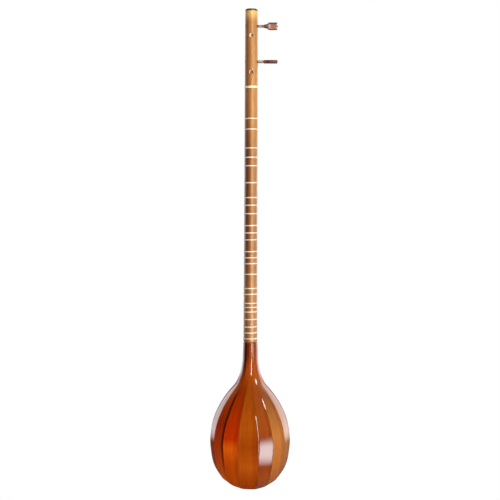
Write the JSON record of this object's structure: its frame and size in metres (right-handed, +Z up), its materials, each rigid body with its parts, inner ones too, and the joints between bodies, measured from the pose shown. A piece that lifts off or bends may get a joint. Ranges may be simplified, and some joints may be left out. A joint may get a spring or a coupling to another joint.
{
  "type": "setar",
  "caption": "Long-necked Persian lute with a pear-shaped bowl of staves, a flat soundboard, tied gut frets, wooden tuning pegs and thin metal strings.",
  "frame": {"origin": "middle of the neck's flat front at the nut's lower edge, where the string length starts and under the pegs, where a wall fork holds the neck", "axes": "+Z up the neck to the head, -Y out of the soundboard, -X to the side with the side pegs"},
  "size_m": [0.1382, 0.161, 0.836],
  "materials": {
    "bowl_wood": "glossy lacquered mulberry, orange brown",
    "bowl_wood_red": "glossy lacquered mulberry, red brown",
    "neck_wood": "satin varnished walnut",
    "inner_wood": "bare planed wood",
    "soundboard_wood": "thin satin finish on straight grained mulberry",
    "bridge_wood": "oiled boxwood",
    "peg_wood": "polished dark hardwood",
    "bone": "polished bone",
    "gut": "twisted gut, satin",
    "steel_wire": "plain drawn steel wire",
    "brass_wire": "plain drawn brass wire"
  },
  "bodies": {
    "instrument": {"bowl_stave_01": "bowl_wood", "bowl_stave_02": "bowl_wood_red", "bowl_stave_03": "bowl_wood", "bowl_stave_04": "bowl_wood_red", "bowl_stave_05": "bowl_wood", "bowl_stave_06": "bowl_wood_red", "bowl_stave_07": "bowl_wood", "bowl_stave_08": "bowl_wood_red", "bowl_stave_09": "bowl_wood", "bowl_stave_10": "bowl_wood_red", "bowl_stave_11": "bowl_wood", "neck": "neck_wood", "neck_block": "inner_wood", "tail_block": "inner_wood", "soundboard": "soundboard_wood", "soundboard_brace": "inner_wood", "bridge": "bridge_wood", "nut": "bone", "string_holder": "bone", "head_cap": "peg_wood", "nut_binding": "gut", "string_1": "steel_wire", "string_2": "brass_wire", "string_3": "steel_wire", "string_4": "brass_wire"},
    "front_peg_upper": {"front_peg_upper": "peg_wood", "front_peg_upper_winding": "steel_wire"},
    "front_peg_lower": {"front_peg_lower": "peg_wood", "front_peg_lower_winding": "brass_wire"},
    "side_peg_upper": {"side_peg_upper": "peg_wood", "side_peg_upper_winding": "steel_wire"},
    "side_peg_lower": {"side_peg_lower": "peg_wood", "side_peg_lower_winding": "brass_wire"},
    "fret_01": {"fret_01": "gut"},
    "fret_02": {"fret_02": "gut"},
    "fret_03": {"fret_03": "gut"},
    "fret_04": {"fret_04": "gut"},
    "fret_05": {"fret_05": "gut"},
    "fret_06": {"fret_06": "gut"},
    "fret_07": {"fret_07": "gut"},
    "fret_08": {"fret_08": "gut"},
    "fret_09": {"fret_09": "gut"},
    "fret_10": {"fret_10": "gut"},
    "fret_11": {"fret_11": "gut"},
    "fret_12": {"fret_12": "gut"},
    "fret_13": {"fret_13": "gut"},
    "fret_14": {"fret_14": "gut"},
    "fret_15": {"fret_15": "gut"},
    "fret_16": {"fret_16": "gut"},
    "fret_17": {"fret_17": "gut"},
    "fret_18": {"fret_18": "gut"},
    "fret_19": {"fret_19": "gut"},
    "fret_20": {"fret_20": "gut"},
    "fret_21": {"fret_21": "gut"},
    "fret_22": {"fret_22": "gut"},
    "fret_23": {"fret_23": "gut"},
    "fret_24": {"fret_24": "gut"},
    "fret_25": {"fret_25": "gut"}
  },
  "joints": [
    {"name": "front_peg_upper_turn", "type": "hinge", "parent": "instrument", "child": "front_peg_upper", "pos_m": [0, 0, 0.094], "axis": [0, -1, 0], "continuous": true},
    {"name": "front_peg_lower_turn", "type": "hinge", "parent": "instrument", "child": "front_peg_lower", "pos_m": [0, 0, 0.0297], "axis": [0, -1, 0], "continuous": true},
    {"name": "side_peg_upper_turn", "type": "hinge", "parent": "instrument", "child": "side_peg_upper", "pos_m": [0, 0.0106, 0.111], "axis": [-1, 0, 0], "continuous": true},
    {"name": "side_peg_lower_turn", "type": "hinge", "parent": "instrument", "child": "side_peg_lower", "pos_m": [0, 0.0106, 0.049], "axis": [-1, 0, 0], "continuous": true},
    {"name": "fret_01_slide", "type": "slide", "parent": "instrument", "child": "fret_01", "axis": [0, 0, 1], "range_m": [-0.006, 0.006]},
    {"name": "fret_02_slide", "type": "slide", "parent": "instrument", "child": "fret_02", "axis": [0, 0, 1], "range_m": [-0.006, 0.006]},
    {"name": "fret_03_slide", "type": "slide", "parent": "instrument", "child": "fret_03", "axis": [0, 0, 1], "range_m": [-0.006, 0.006]},
    {"name": "fret_04_slide", "type": "slide", "parent": "instrument", "child": "fret_04", "axis": [0, 0, 1], "range_m": [-0.0055, 0.006]},
    {"name": "fret_05_slide", "type": "slide", "parent": "instrument", "child": "fret_05", "axis": [0, 0, 1], "range_m": [-0.006, 0.0055]},
    {"name": "fret_06_slide", "type": "slide", "parent": "instrument", "child": "fret_06", "axis": [0, 0, 1], "range_m": [-0.006, 0.006]},
    {"name": "fret_07_slide", "type": "slide", "parent": "instrument", "child": "fret_07", "axis": [0, 0, 1], "range_m": [-0.0048, 0.006]},
    {"name": "fret_08_slide", "type": "slide", "parent": "instrument", "child": "fret_08", "axis": [0, 0, 1], "range_m": [-0.0055, 0.0048]},
    {"name": "fret_09_slide", "type": "slide", "parent": "instrument", "child": "fret_09", "axis": [0, 0, 1], "range_m": [-0.006, 0.0055]},
    {"name": "fret_10_slide", "type": "slide", "parent": "instrument", "child": "fret_10", "axis": [0, 0, 1], "range_m": [-0.0045, 0.006]},
    {"name": "fret_11_slide", "type": "slide", "parent": "instrument", "child": "fret_11", "axis": [0, 0, 1], "range_m": [-0.0042, 0.0045]},
    {"name": "fret_12_slide", "type": "slide", "parent": "instrument", "child": "fret_12", "axis": [0, 0, 1], "range_m": [-0.006, 0.0042]},
    {"name": "fret_13_slide", "type": "slide", "parent": "instrument", "child": "fret_13", "axis": [0, 0, 1], "range_m": [-0.0034, 0.006]},
    {"name": "fret_14_slide", "type": "slide", "parent": "instrument", "child": "fret_14", "axis": [0, 0, 1], "range_m": [-0.0033, 0.0034]},
    {"name": "fret_15_slide", "type": "slide", "parent": "instrument", "child": "fret_15", "axis": [0, 0, 1], "range_m": [-0.006, 0.0033]},
    {"name": "fret_16_slide", "type": "slide", "parent": "instrument", "child": "fret_16", "axis": [0, 0, 1], "range_m": [-0.006, 0.006]},
    {"name": "fret_17_slide", "type": "slide", "parent": "instrument", "child": "fret_17", "axis": [0, 0, 1], "range_m": [-0.0032, 0.006]},
    {"name": "fret_18_slide", "type": "slide", "parent": "instrument", "child": "fret_18", "axis": [0, 0, 1], "range_m": [-0.006, 0.0032]},
    {"name": "fret_19_slide", "type": "slide", "parent": "instrument", "child": "fret_19", "axis": [0, 0, 1], "range_m": [-0.0017, 0.006]},
    {"name": "fret_20_slide", "type": "slide", "parent": "instrument", "child": "fret_20", "axis": [0, 0, 1], "range_m": [-0.0022, 0.0017]},
    {"name": "fret_21_slide", "type": "slide", "parent": "instrument", "child": "fret_21", "axis": [0, 0, 1], "range_m": [-0.0047, 0.0022]},
    {"name": "fret_22_slide", "type": "slide", "parent": "instrument", "child": "fret_22", "axis": [0, 0, 1], "range_m": [-0.0048, 0.0047]},
    {"name": "fret_23_slide", "type": "slide", "parent": "instrument", "child": "fret_23", "axis": [0, 0, 1], "range_m": [-0.0033, 0.0048]},
    {"name": "fret_24_slide", "type": "slide", "parent": "instrument", "child": "fret_24", "axis": [0, 0, 1], "range_m": [-0.0033, 0.0033]},
    {"name": "fret_25_slide", "type": "slide", "parent": "instrument", "child": "fret_25", "axis": [0, 0, 1], "range_m": [-0.004, 0.0033]}
  ]
}
